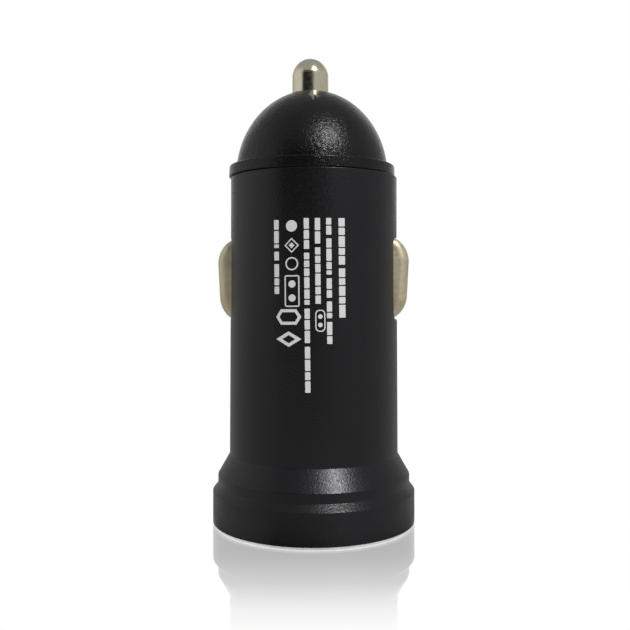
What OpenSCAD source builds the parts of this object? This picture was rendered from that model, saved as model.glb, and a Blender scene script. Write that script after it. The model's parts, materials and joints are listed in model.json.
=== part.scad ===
// A plug for the 12 volt power socket of a vehicle, with one USB-A charging port in its head.
// Millimetres. The rim of the head lies on z = 0, the axis is Z and the centre pin points up.
// The two side contacts lie along X, and the printed side of the barrel faces -Y.

/* [Barrel] */
// Diameter of the seating length, just under the nose cap
barrel_d = 20.7; // [20.4:0.1:20.9]
// Diameter of the barrel where it grows out of the head
root_d = 20.96; // [20.92:0.02:21.1]
// Height of the top face of the barrel, where the nose cap sits
barrel_top = 42.78; // [42.4:0.02:43.4]
// Diameter of the bore
bore_d = 18.6; // [18.5:0.05:18.8]

/* [Head] */
// Diameter of the head
head_d = 25.1; // [24.6:0.1:26]
// Height of the full-width band of the head
head_h = 4.1; // [3.9:0.01:4.3]
// Diameter of the plain groove above the head
groove_d = 23.82; // [23.4:0.02:24]
// Width of the bright chamfer on the rim
rim_chamfer = 0.3; // [0.15:0.05:0.45]
// Depth of the face plate below the rim
face_recess = 0.5; // [0.3:0.05:0.8]

/* [Nose] */
// Thickness of the flange of the nose cap
flange_h = 1.43; // [1.2:0.01:1.6]
// Diameter of the dome at its foot
dome_d = 18.96; // [18:0.02:19.2]
// Distance that the cap stands off the axis, toward -X
cap_offset = 0.24; // [0:0.02:0.24]
// Wall of the dome
dome_wall = 1.4; // [1.2:0.1:1.6]

/* [Centre pin] */
// Diameter of the pin
pin_d = 4.6; // [4.4:0.1:4.8]
// Height of the tip of the pin above the top face of the barrel
pin_reach = 15.04; // [14.6:0.01:15.6]
// Distance that the pin stands off the axis, toward -X
pin_offset = 0.44; // [0.2:0.02:0.5]
// Travel of the pin
pin_travel = 3.5; // [2.5:0.1:3.8]

/* [Side contacts] */
// Distance from the axis to the outer face of a side contact, at its upper corner
contact_out = 11.8; // [11.4:0.05:11.9]
// Width of a side contact
contact_w = 5.6; // [5.3:0.1:5.8]
// Height of a side contact
contact_h = 9.7; // [9.3:0.1:9.8]
// Distance that the lower corner stands further in than the upper one
contact_lean = 0.22; // [0:0.02:0.4]
// Sheet thickness of the side contacts
contact_t = 0.5; // [0.4:0.05:0.6]
// Travel of the side contacts
contact_travel = 1.4; // [1:0.1:1.4]
// Width of the slots for the side contacts
slot_w = 6; // [5.9:0.05:6.4]
// Height of the slots
slot_h = 10.1; // [10.1:0.05:10.5]
// Distance that the right contact sits higher in its slot than the left one
contact_play = 0.2; // [0:0.02:0.2]

/* [Port] */
// Inside width of the port's shell
port_w = 12.5; // [12.45:0.05:12.6]
// Inside height of the port's shell
port_h = 5.12; // [5.1:0.02:5.2]
// Depth of the port's tongue
tongue_l = 8.4; // [8:0.1:8.8]

/* [Hidden] */
$fn = 96;
e = 0.01;

head_r = head_d / 2;
groove_r = groove_d / 2;
barrel_r = barrel_d / 2;
root_r = root_d / 2;
bore_r = bore_d / 2;
groove_foot = head_h + 0.83;
groove_top = groove_foot + 1.14;
root_z = groove_top + 2.49;
seat_z = 35.8;
pocket_r = 11.2;
plate_t = 2;
plate_top = face_recess + plate_t;

slot_z = 30.25;
contact_z = 30.15;
spring_z = 30.15;
corner_r = 3.2;

cap_x = -cap_offset;
pin_x = -pin_offset;
seam = 0.08;
flange_top = barrel_top + flange_h;
dome_z = flange_top - 1.22;
dome_rise = 10.73;
skirt_r = bore_r - 0.25;
skirt_foot = barrel_top - 3.98;
pin_r = pin_d / 2;
pin_top = barrel_top + pin_reach;
guide_foot = pin_top - 7.75;
shoulder_top = guide_foot - 0.1;
shoulder_foot = shoulder_top - 1.2;

shell_t = 0.3;
board_y = port_h / 2 + shell_t;
board_t = 1;
board_top = 38.2;
shell_z = plate_top + 0.05;
shell_end = shell_z + 12.05;
tongue_y = port_h / 2 - 1.33;
tongue_t = 1.84;

carrier_z0 = 22.9;
carrier_z1 = 37.3;
seat_x = 4.6;
strap_t = 0.3;

// Points along an arc, in the plane of a profile
function arc(cx, cy, r, a0, a1, n) = [for (i = [0:n]) let (a = a0 + (a1 - a0) * i / n) [cx + r * cos(a), cy + r * sin(a)]];

// Outline of a rectangle w by h about the origin, with corners of radius r
function rounded(w, h, r, n = 6) = concat(
    arc(w / 2 - r, h / 2 - r, r, 0, 90, n),
    arc(-w / 2 + r, h / 2 - r, r, 90, 180, n),
    arc(-w / 2 + r, -h / 2 + r, r, 180, 270, n),
    arc(w / 2 - r, -h / 2 + r, r, 270, 360, n));

// Points of the dome, from its foot or mouth up to where it reaches radius r1
function dome(r, rise, z0, z1, r1, n) = [for (i = [0:n])
    let (a0 = asin((z1 - z0) / rise), a1 = acos(r1 / r), a = a0 + (a1 - a0) * i / n)
    [r * cos(a), z0 + rise * sin(a)]];

// Height along a coil after u turns: the first and the last turn lie nearly closed
function climb(u, turns, h, low) = u < 1 ? u * low
    : u > turns - 1 ? h - (turns - u) * low
    : low + (u - 1) * (h - 2 * low) / (turns - 2);

// A coil of round wire, centred on Z from 0 to h, of mean radius r
module coil(r, wire, h, turns, per = 14, sides = 8) {
    n = floor(turns * per);
    low = wire * 1.15;
    run = h - wire * 1.04;
    points = [for (i = [0:n]) let (u = turns * i / n, a = 360 * u,
            rise = (climb(min(u + 0.05, turns), turns, run, low) - climb(max(u - 0.05, 0), turns, run, low))
                / (min(u + 0.05, turns) - max(u - 0.05, 0)),
            b = atan(rise / (2 * PI * r)))
        for (k = [0:sides - 1]) let (q = 360 * (k + 0.5) / sides, p = wire / 2 * cos(q), s = wire / 2 * sin(q))
            [cos(a) * (r + p) + sin(a) * sin(b) * s,
             sin(a) * (r + p) - cos(a) * sin(b) * s,
             wire * 0.52 + climb(u, turns, run, low) + cos(b) * s]];
    faces = concat(
        [[for (k = [0:sides - 1]) k]],
        [for (i = [0:n - 1]) for (k = [0:sides - 1]) let (a = i * sides + k, b = i * sides + (k + 1) % sides)
            [a, a + sides, b + sides, b]],
        [[for (k = [sides - 1:-1:0]) n * sides + k]]);
    polyhedron(points = points, faces = faces, convexity = 12);
}

// A box given by its two corners
module block(a, b) {
    translate(a) cube(b - a);
}

// An upright prism along X, from x0 to x1, of an outline in Y and Z
module along_x(x0, x1, outline) {
    translate([x0, 0, 0]) rotate([90, 0, 90]) linear_extrude(x1 - x0) polygon(outline);
}

// An upright prism along Y, from y0 to y1, of an outline in X and Z
module along_y(y0, y1, outline) {
    translate([0, y1, 0]) rotate([90, 0, 0]) linear_extrude(y1 - y0) polygon(outline);
}

// Turned from one bar: head, groove and barrel, with a slot on each side for the contacts
module housing() {
    color([0.17, 0.17, 0.18]) difference() {
        rotate_extrude() polygon([
            [pocket_r + 0.2, 0], [head_r - rim_chamfer, 0], [head_r, rim_chamfer], [head_r, head_h],
            [groove_r, groove_foot], [groove_r, groove_top], [root_r, root_z],
            [barrel_r, seat_z], [barrel_r, barrel_top],
            [bore_r, barrel_top], [bore_r, plate_top], [pocket_r, plate_top], [pocket_r, 0.2]]);
        for (side = [-1, 1])
            translate([side > 0 ? 6 : -14, 0, slot_z]) along_x(0, 8, rounded(slot_w, slot_h, 1.3));
    }
}

// Moulded cap: a skirt in the bore, a flange on the barrel and a dome with the guide of the pin
module nose_cap() {
    inner_r = skirt_r - 1.4;
    guide_a = acos(4.5 / inner_r);
    color([0.12, 0.12, 0.12]) difference() {
        translate([cap_x, 0, 0]) rotate_extrude() polygon(concat(
            [[inner_r, skirt_foot], [skirt_r - 0.2, skirt_foot], [skirt_r, skirt_foot + 0.2], [skirt_r, barrel_top],
             [barrel_r - 0.45, barrel_top], [barrel_r - 0.45, barrel_top + seam],
             [barrel_r - 0.12, barrel_top + seam], [barrel_r, barrel_top + seam + 0.12],
             [barrel_r - 0.04, flange_top - 0.25], [barrel_r - 0.11, flange_top - 0.07], [barrel_r - 0.29, flange_top]],
            dome(dome_d / 2, dome_rise, dome_z, flange_top, 0.6, 26),
            [[0.6, guide_foot], [4.5, guide_foot]],
            [for (i = [14:-1:0]) let (a = guide_a * i / 14)
                [inner_r * cos(a), dome_z + (dome_rise - dome_wall) * sin(a)]]));
        translate([pin_x, 0, guide_foot - 1]) cylinder(r = pin_r + 0.08, h = 12);
    }
}

// Turned pin: round tip, shank, the shoulder that stops it under the guide, and a spigot for the spring
module centre_pin() {
    color([0.78, 0.74, 0.62]) translate([pin_x, 0, 0]) rotate_extrude() polygon(concat(
        [[0, shoulder_foot - 2], [1.3, shoulder_foot - 2], [1.6, shoulder_foot - 1.7], [1.6, shoulder_foot],
         [3.2, shoulder_foot], [3.2, shoulder_top], [pin_r, shoulder_top]],
        arc(0, pin_top - pin_r, pin_r, 0, 90, 18)));
}

// Coil spring that pushes the pin out of the nose
module pin_spring() {
    color([0.7, 0.7, 0.7]) translate([pin_x, 0, carrier_z1 + 0.5])
        coil(2.1, 0.5, shoulder_foot - carrier_z1 - 0.5, 8.5);
}

// Brass cup under the pin's spring, with its tail on the board
module positive_terminal() {
    color([0.8, 0.66, 0.3]) union() {
        difference() {
            translate([pin_x, 0, carrier_z1]) cylinder(r = 2.75, h = 1.3);
            translate([pin_x, 0, carrier_z1 + 0.5]) cylinder(r = 2.45, h = 2);
        }
        block([pin_x - 1.2, 2.4, carrier_z1], [pin_x + 1.2, board_y, carrier_z1 + 0.5]);
        block([pin_x - 1.2, board_y - 0.4, 34.4], [pin_x + 1.2, board_y, carrier_z1 + 0.5]);
    }
}

// Outline of a side contact in X and Z, drawn in by the distance t
function contact_outline(t, x0) = let (r = corner_r - t,
        zt = contact_z + contact_h / 2 - t, zb = contact_z - contact_h / 2 + t,
        ct = [contact_out - corner_r, 32.15], cb = [contact_out - contact_lean - corner_r, 28.02],
        lean = atan(contact_lean / 4.13))
    concat([[x0, zb]], arc(cb[0], cb[1], r, -asin((cb[1] - zb) / r), -lean, 9),
        arc(ct[0], ct[1], r, -lean, asin((zt - ct[1]) / r), 9), [[x0, zt]]);

// A drawn sheet tab, open on its inner side, with an ear at each end that stops it in the slot
module side_contact() {
    foot = 8.2;
    union() {
        difference() {
            intersection() {
                along_y(-contact_w / 2, contact_w / 2, contact_outline(0, foot));
                translate([0, 0, contact_z]) along_x(foot - 1, 13, rounded(contact_w, contact_h, 1));
            }
            along_y(-contact_w / 2 + contact_t, contact_w / 2 - contact_t, contact_outline(contact_t, foot - 2));
        }
        for (end = [-1, 1]) block(
            [foot, -2, contact_z + (end > 0 ? contact_h / 2 - contact_t : -contact_h / 2 - 1.1)],
            [foot + 0.55, 2, contact_z + (end > 0 ? contact_h / 2 + 1.1 : -contact_h / 2 + contact_t)]);
    }
}

module side_contact_left() {
    color([0.78, 0.74, 0.6]) mirror([1, 0, 0]) side_contact();
}

module side_contact_right() {
    color([0.78, 0.74, 0.6]) translate([0, 0, contact_play]) side_contact();
}

// Coil spring between the ground strap and the crown of a side contact
module contact_spring() {
    translate([seat_x + strap_t, 0, spring_z]) rotate([0, 90, 0])
        coil(1.85, 0.45, contact_out - contact_lean - 0.9 - seat_x - strap_t, 6);
}

module contact_spring_left() {
    color([0.7, 0.7, 0.7]) mirror([1, 0, 0]) contact_spring();
}

module contact_spring_right() {
    color([0.7, 0.7, 0.7]) contact_spring();
}

// Moulded block in the bore: a bay and a post for each side spring, and the seat of the terminal
module spring_carrier() {
    color([0.85, 0.83, 0.78]) union() {
        difference() {
            translate([0, 0, carrier_z0]) cylinder(r = bore_r - 0.15, h = carrier_z1 - carrier_z0);
            block([-12, board_y, carrier_z0 - 1], [12, 12, carrier_z1 + 1]);
            for (side = [-1, 1]) {
                block([side > 0 ? seat_x : -12, -3.15, 23.85], [side > 0 ? 12 : -seat_x, 4, 36.4]);
            }
            block([-6.4, -12, 26.2], [6.4, -3.4, 34]);
            for (side = [-1, 1]) block([side > 0 ? seat_x : -seat_x - 0.4, -3.5, 27.6], [side > 0 ? seat_x + 0.4 : -seat_x, -3, 33.8]);
            block([-2.6, -12, 19], [2.6, -5.6, 40]);
            block([pin_x - 1.4, board_y - 0.5, 34.2], [pin_x + 1.4, 4, carrier_z1 + 1]);
        }
        for (side = [-1, 1]) translate([side > 0 ? seat_x - 0.5 : -seat_x - 1.8, 0, spring_z])
            rotate([0, 90, 0]) cylinder(r = 1.5, h = 2.3);
    }
}

// Bent strip that carries the ground from both side springs to the board
module ground_strap() {
    color([0.75, 0.72, 0.62]) difference() {
        union() {
            for (side = [-1, 1]) block([side > 0 ? seat_x : -seat_x - strap_t, -3.7, 27.8],
                [side > 0 ? seat_x + strap_t : -seat_x, 2.5, 32.6]);
            for (side = [-1, 1]) block([side > 0 ? seat_x : -seat_x - strap_t, 2, 29.3],
                [side > 0 ? seat_x + strap_t : -seat_x, board_y, 31]);
            block([-seat_x - strap_t, -3.7, 28.6], [seat_x + strap_t, -3.4, 31.7]);
        }
        translate([-8, 0, spring_z]) rotate([0, 90, 0]) cylinder(r = 1.6, h = 16);
    }
}

// Round plate in the head, with the mouth of the port
module face_plate() {
    color([0.1, 0.1, 0.1]) difference() {
        union() {
            translate([0, 0, face_recess + 0.3]) cylinder(r = pocket_r - 0.05, h = plate_t - 0.3);
            translate([0, 0, face_recess]) cylinder(r1 = pocket_r - 0.35, r2 = pocket_r - 0.05, h = 0.3 + e);
        }
        translate([0, 0, face_recess - 1]) linear_extrude(plate_t + 2)
            polygon(rounded(port_w + 0.1, port_h + 0.1, 0.6));
        translate([0, 0, face_recess - 0.3]) linear_extrude(0.6)
            polygon(rounded(port_w + 0.9, port_h + 0.9, 0.9));
    }
}

// Folded shell of the port, with two spring fingers in each wide side and two legs through the board
module usb_shell() {
    ow = port_w + 2 * shell_t;
    oh = port_h + 2 * shell_t;
    color([0.75, 0.75, 0.75]) union() {
        difference() {
            translate([0, 0, shell_z]) linear_extrude(shell_end - shell_z) polygon(rounded(ow, oh, 0.7));
            translate([0, 0, shell_z - 1]) linear_extrude(shell_end - shell_z + 2)
                polygon(rounded(port_w, port_h, 0.4));
            for (side = [-1, 1]) for (x = [-3.2, 3.2]) difference() {
                block([x - 1.2, side > 0 ? port_h / 2 - 0.2 : -port_h / 2 - 1, shell_z + 2.2],
                    [x + 1.2, side > 0 ? port_h / 2 + 1 : -port_h / 2 + 0.2, shell_z + 7.6]);
                block([x - 0.8, side > 0 ? port_h / 2 - 1 : -port_h / 2 - 2, shell_z + 2.6],
                    [x + 0.8, side > 0 ? port_h / 2 + 2 : -port_h / 2 + 1, shell_z + 8]);
            }
        }
        for (side = [-1, 1]) block([side > 0 ? port_w / 2 : -ow / 2, oh / 2 - 1, shell_z + 5],
            [side > 0 ? ow / 2 : -port_w / 2, board_y + board_t + 0.5, shell_z + 6.6]);
    }
}

// Moulded block and tongue that hold the four contacts of the port
module usb_insulator() {
    color([0.12, 0.12, 0.13]) difference() {
        union() {
            block([-port_w / 2 + 0.5, -port_h / 2, shell_end - 2.6], [port_w / 2 - 0.5, port_h / 2, shell_end]);
            block([-5.55, tongue_y - tongue_t, shell_end - 2.6 - tongue_l], [5.55, tongue_y, shell_end - 2.5]);
        }
        for (x = [-3.5, -1, 1, 3.5])
            block([x - 0.5, tongue_y - tongue_t - 0.2, shell_end - 2.7], [x + 0.5, tongue_y - tongue_t, shell_end + 1]);
    }
}

// Four blades on the tongue, with tails that go through the board
module usb_contacts() {
    color([0.85, 0.68, 0.25]) for (x = [-3.5, -1, 1, 3.5]) union() {
        block([x - 0.5, tongue_y - tongue_t - 0.2, shell_end - 2.2 - tongue_l],
            [x + 0.5, tongue_y - tongue_t, shell_end + 0.5]);
        block([x - 0.3, tongue_y - tongue_t - 0.2, shell_end + 0.2], [x + 0.3, board_y + board_t + 0.6, shell_end + 0.5]);
    }
}

// Circuit board, with a waist between the side contacts
module main_board() {
    z0 = plate_top + 0.1;
    color([0.1, 0.35, 0.2]) difference() {
        along_y(board_y, board_y + board_t, [[-7.5, z0], [7.5, z0], [7.5, 23], [6.2, 24.3], [6.2, 36.3],
            [6.2, board_top], [-6.2, board_top], [-6.2, 24.3], [-7.5, 23]]);
        for (side = [-1, 1]) block([side * (port_w / 2 + shell_t / 2) - 0.4, 2, shell_z + 4.9],
            [side * (port_w / 2 + shell_t / 2) + 0.4, 5, shell_z + 6.7]);
        for (x = [-3.5, -1, 1, 3.5]) translate([x, 2, shell_end + 0.35]) rotate([-90, 0, 0]) cylinder(r = 0.45, h = 3);
    }
}

// Shielded inductor of the converter
module power_inductor() {
    color([0.3, 0.3, 0.32]) union() {
        along_y(board_y - 3.9, board_y - 0.3, [for (p = rounded(6.6, 6.6, 1.2, 4)) [p[0], p[1] + 19.2]]);
        for (side = [-1, 1]) block([side > 0 ? 1.4 : -3.1, board_y - 0.4, 18], [side > 0 ? 3.1 : -1.4, board_y, 20.4]);
    }
}

// Round can on its side, with two bent leads down to the back of the board, from z0 upward
module can(z0, r, h) {
    y = board_y + board_t + r;
    union() {
        translate([0, y, z0]) rotate_extrude() polygon([[0, 0], [r - 0.3, 0], [r - 0.15, 0.15], [r - 0.15, 0.7],
            [r, 0.9], [r, h - 0.25], [r - 0.25, h], [r - 0.7, h], [r - 0.8, h - 0.1], [0, h - 0.1]]);
        for (x = [-1, 1]) {
            block([x - 0.22, y - 0.22, z0 - 1.2], [x + 0.22, y + 0.22, z0 + 0.3]);
            block([x - 0.22, board_y + board_t, z0 - 1.2], [x + 0.22, y + 0.2, z0 - 0.76]);
        }
    }
}

module input_capacitor() {
    color([0.2, 0.22, 0.3]) can(25.2, 2.5, 8);
}

module output_capacitor() {
    color([0.2, 0.22, 0.3]) can(5.6, 2.5, 7);
}

// Flat package on the back of the board, with leads on both long sides
module chip(x, z, w, h, t, leads, pitch) {
    y = board_y + board_t;
    union() {
        block([x - w / 2, y + 0.1, z - h / 2], [x + w / 2, y + 0.1 + t, z + h / 2]);
        for (side = [-1, 1]) for (i = [0:leads - 1]) let (zl = z + (i - (leads - 1) / 2) * pitch) {
            block([side > 0 ? x + w / 2 - 0.2 : x - w / 2 - 1, y, zl - 0.2],
                [side > 0 ? x + w / 2 + 1 : x - w / 2 + 0.2, y + 0.2, zl + 0.2]);
            block([side > 0 ? x + w / 2 - 0.2 : x - w / 2 - 0.5, y + 0.1, zl - 0.2],
                [side > 0 ? x + w / 2 + 0.5 : x - w / 2 + 0.2, y + 0.1 + t * 0.55, zl + 0.2]);
        }
    }
}

module converter_chip() {
    color([0.08, 0.08, 0.08]) chip(-2.9, 19.6, 3.9, 4.9, 1.4, 4, 1.27);
}

module protocol_chip() {
    color([0.08, 0.08, 0.08]) chip(3.6, 20.6, 1.6, 2.9, 1, 3, 0.95);
}

// Power diode with a metal clip at each end
module rectifier_diode() {
    y = board_y + board_t;
    color([0.09, 0.09, 0.09]) union() {
        block([-2.3, y + 0.1, 34.6], [2.1, y + 2, 37.2]);
        for (side = [-1, 1]) block([side > 0 ? 1.9 : -2.9, y, 35.2], [side > 0 ? 2.7 : -2.1, y + 1, 36.6]);
    }
}

// Small block on the back of the board, long in Z, with end caps
module chip_part(x, z, w, h, t, front = false) {
    y = front ? board_y - t : board_y + board_t;
    block([x - w / 2, y, z - h / 2], [x + w / 2, y + t, z + h / 2]);
}

module chip_fuse() {
    color([0.85, 0.85, 0.8]) chip_part(4.6, 34.4, 1.6, 3.2, 0.6);
}

module chip_resistors() {
    color([0.1, 0.1, 0.12]) {
        for (z = [16.4, 18.2]) chip_part(6.6, z, 0.8, 1.5, 0.5);
        for (x = [1.2, 2.4]) chip_part(x, 16.4, 0.8, 1.6, 0.5);
        chip_part(-4.6, 28, 0.8, 1.6, 0.5);
        chip_part(-4.6, 31, 0.8, 1.6, 0.5);
    }
}

module chip_capacitors() {
    color([0.75, 0.6, 0.4]) {
        for (x = [-5.4, 5.4]) for (z = [17.4, 20.6]) chip_part(x, z, 1.25, 2, 0.9, true);
        chip_part(4.6, 28.6, 1.25, 2, 0.9);
        chip_part(4.6, 31.2, 1.25, 2, 0.9);
    }
}

housing();
nose_cap();
centre_pin();
pin_spring();
positive_terminal();
side_contact_left();
side_contact_right();
contact_spring_left();
contact_spring_right();
spring_carrier();
ground_strap();
face_plate();
usb_shell();
usb_insulator();
usb_contacts();
main_board();
power_inductor();
input_capacitor();
output_capacitor();
converter_chip();
protocol_chip();
rectifier_diode();
chip_fuse();
chip_resistors();
chip_capacitors();
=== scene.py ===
import bpy
import json
import math
import random
from mathutils import Matrix, Vector

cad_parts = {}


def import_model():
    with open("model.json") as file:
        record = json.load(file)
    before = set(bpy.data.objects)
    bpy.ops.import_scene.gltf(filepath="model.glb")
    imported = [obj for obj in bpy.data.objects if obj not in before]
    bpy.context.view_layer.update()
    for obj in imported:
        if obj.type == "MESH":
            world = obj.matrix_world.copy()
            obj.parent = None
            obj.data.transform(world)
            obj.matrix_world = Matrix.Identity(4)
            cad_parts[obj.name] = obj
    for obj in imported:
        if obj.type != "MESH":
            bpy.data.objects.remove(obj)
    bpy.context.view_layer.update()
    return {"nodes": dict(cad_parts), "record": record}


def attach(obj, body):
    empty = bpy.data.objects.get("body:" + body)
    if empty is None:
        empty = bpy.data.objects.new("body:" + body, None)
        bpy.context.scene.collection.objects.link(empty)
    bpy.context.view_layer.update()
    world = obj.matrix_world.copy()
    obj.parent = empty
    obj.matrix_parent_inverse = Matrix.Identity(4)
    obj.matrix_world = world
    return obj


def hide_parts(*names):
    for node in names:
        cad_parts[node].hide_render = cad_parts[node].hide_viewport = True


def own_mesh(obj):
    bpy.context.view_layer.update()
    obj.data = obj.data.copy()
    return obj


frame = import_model()
NODES = frame["nodes"]
MM = 0.001

# ---------------------------------------------------------------- sizes, in millimetres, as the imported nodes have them
AZ = 4.3                       # the view stands this far round toward +X
BARREL_TOP = 42.78
BORE = 9.3
CAP_X = -0.24
PIN_X = -0.44
BARREL_R, ROOT_R, GROOVE_R, HEAD_R = 10.35, 10.48, 11.91, 12.55
SLOT_Z, SLOT_W, SLOT_H, SLOT_R = 30.25, 6.0, 10.1, 1.3
CONTACT_Z, CONTACT_W, CONTACT_H = 30.15, 5.6, 9.7
CONTACT_OUT, CONTACT_LEAN = 11.8, 0.22
CONTACT_PLAY = 0.2             # the right contact sits higher by this much
SPRING_Z = 30.15
FOOT = 8.2                     # innermost edge of a contact
PIN_TOP = 57.82
DOME_R, DOME_Z, DOME_RISE = 9.48, 42.99, 10.73


def barrel_radius(z):
    """Outer radius of the barrel at height z: a slight taper, then the straight seating length."""
    if z >= 35.8:
        return BARREL_R
    return ROOT_R + (BARREL_R - ROOT_R) * (z - 8.56) / (35.8 - 8.56)


# ---------------------------------------------------------------- mesh helpers
def link(name, mesh):
    o = bpy.data.objects.new(name, mesh)
    bpy.context.scene.collection.objects.link(o)
    return o


def make(name, verts, faces, mats=(), face_mats=None, sharp=30, smooth=True):
    """A mesh object from points in millimetres."""
    me = bpy.data.meshes.new(name)
    me.from_pydata([(x * MM, y * MM, z * MM) for x, y, z in verts], [], faces)
    me.validate(verbose=False)
    me.update()
    for m in mats:
        me.materials.append(m)
    if face_mats:
        me.polygons.foreach_set("material_index", face_mats)
    me.polygons.foreach_set("use_smooth", [smooth] * len(me.polygons))
    if smooth and sharp:
        me.set_sharp_from_angle(angle=math.radians(sharp))
    me.update()
    return link(name, me)


def rounded_path(points, closed=False):
    """points: (a, b, fillet radius). Returns (a, b) pairs with the corners turned into arcs."""
    n = len(points)
    out = []
    for i, (x, y, r) in enumerate(points):
        if r <= 0 or (not closed and i in (0, n - 1)):
            out.append((x, y))
            continue
        px, py, _ = points[(i - 1) % n]
        qx, qy, _ = points[(i + 1) % n]
        ax, ay = px - x, py - y
        bx, by = qx - x, qy - y
        la, lb = math.hypot(ax, ay), math.hypot(bx, by)
        ax, ay, bx, by = ax / la, ay / la, bx / lb, by / lb
        c = max(-1.0, min(1.0, ax * bx + ay * by))
        half = math.acos(c) / 2
        if abs(math.pi / 2 - half) < 1e-3:
            out.append((x, y))
            continue
        d = min(r / math.tan(half), la * 0.49, lb * 0.49)
        rr = d * math.tan(half)
        mx, my = ax + bx, ay + by
        lm = math.hypot(mx, my)
        cx, cy = x + mx / lm * rr / math.sin(half), y + my / lm * rr / math.sin(half)
        a0 = math.atan2(y + ay * d - cy, x + ax * d - cx)
        a1 = math.atan2(y + by * d - cy, x + bx * d - cx)
        while a1 - a0 > math.pi:
            a1 -= 2 * math.pi
        while a1 - a0 < -math.pi:
            a1 += 2 * math.pi
        steps = max(3, int(abs(a1 - a0) / math.radians(9)))
        for k in range(steps + 1):
            a = a0 + (a1 - a0) * k / steps
            out.append((cx + rr * math.cos(a), cy + rr * math.sin(a)))
    return out


def supported(points, gap=0.05):
    """Adds a point close to each end of every long stretch, so that smooth shading keeps the stretch true."""
    out = [points[0]]
    for p, q in zip(points, points[1:]):
        L = math.dist(p, q)
        if L > 5 * gap:
            for f in (gap / L, 1 - gap / L):
                out.append((p[0] + (q[0] - p[0]) * f, p[1] + (q[1] - p[1]) * f))
        out.append(q)
    return out


def lathe(name, profile, centre=0.0, segs=128, closed=True, mats=(), mat_of=None, sharp=32):
    """Turns (r, z) pairs about the vertical line x = centre. A closed profile is a ring; an open one starts and ends on the axis."""
    verts, faces, fm = [], [], []
    rings = []
    for r, z in profile:
        if r < 1e-6:
            rings.append([len(verts)])
            verts.append((centre, 0.0, z))
        else:
            start = len(verts)
            for k in range(segs):
                a = 2 * math.pi * k / segs
                verts.append((centre + r * math.cos(a), r * math.sin(a), z))
            rings.append(list(range(start, start + segs)))
    pairs = list(zip(range(len(rings) - 1), range(1, len(rings))))
    if closed:
        pairs.append((len(rings) - 1, 0))
    for i, j in pairs:
        a, b = rings[i], rings[j]
        m = mat_of(i) if mat_of else 0
        for k in range(segs):
            k2 = (k + 1) % segs
            if len(a) == 1 and len(b) == 1:
                continue
            if len(a) == 1:
                faces.append((a[0], b[k2], b[k]))
            elif len(b) == 1:
                faces.append((a[k], a[k2], b[0]))
            else:
                faces.append((a[k], a[k2], b[k2], b[k]))
            fm.append(m)
    return make(name, verts, faces, mats, fm, sharp)


def rounded_rect(w, h, r, n_w, n_h):
    """Outline of a rounded rectangle from the middle of its lower left corner, anticlockwise, n_w steps along each width and n_h along each height."""
    def side(length_points, n):
        total = [0.0]
        for p, q in zip(length_points, length_points[1:]):
            total.append(total[-1] + math.dist(p, q))
        out = []
        for k in range(n):
            t = total[-1] * k / n
            i = max(j for j in range(len(total)) if total[j] <= t + 1e-12)
            i = min(i, len(length_points) - 2)
            f = (t - total[i]) / (total[i + 1] - total[i])
            p, q = length_points[i], length_points[i + 1]
            out.append((p[0] + (q[0] - p[0]) * f, p[1] + (q[1] - p[1]) * f))
        return out

    def corner(cx, cy, a0, a1):
        return [(cx + r * math.cos(math.radians(a0 + (a1 - a0) * k / 8)),
                 cy + r * math.sin(math.radians(a0 + (a1 - a0) * k / 8))) for k in range(9)]
    x, y = w / 2 - r, h / 2 - r
    bottom = corner(-x, -y, 225, 270) + corner(x, -y, 270, 315)
    right = corner(x, -y, 315, 360) + corner(x, y, 0, 45)
    top = corner(x, y, 45, 90) + corner(-x, y, 90, 135)
    left = corner(-x, y, 135, 180) + corner(-x, -y, 180, 225)
    return side(bottom, n_w) + side(right, n_h) + side(top, n_w) + side(left, n_h)


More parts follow.
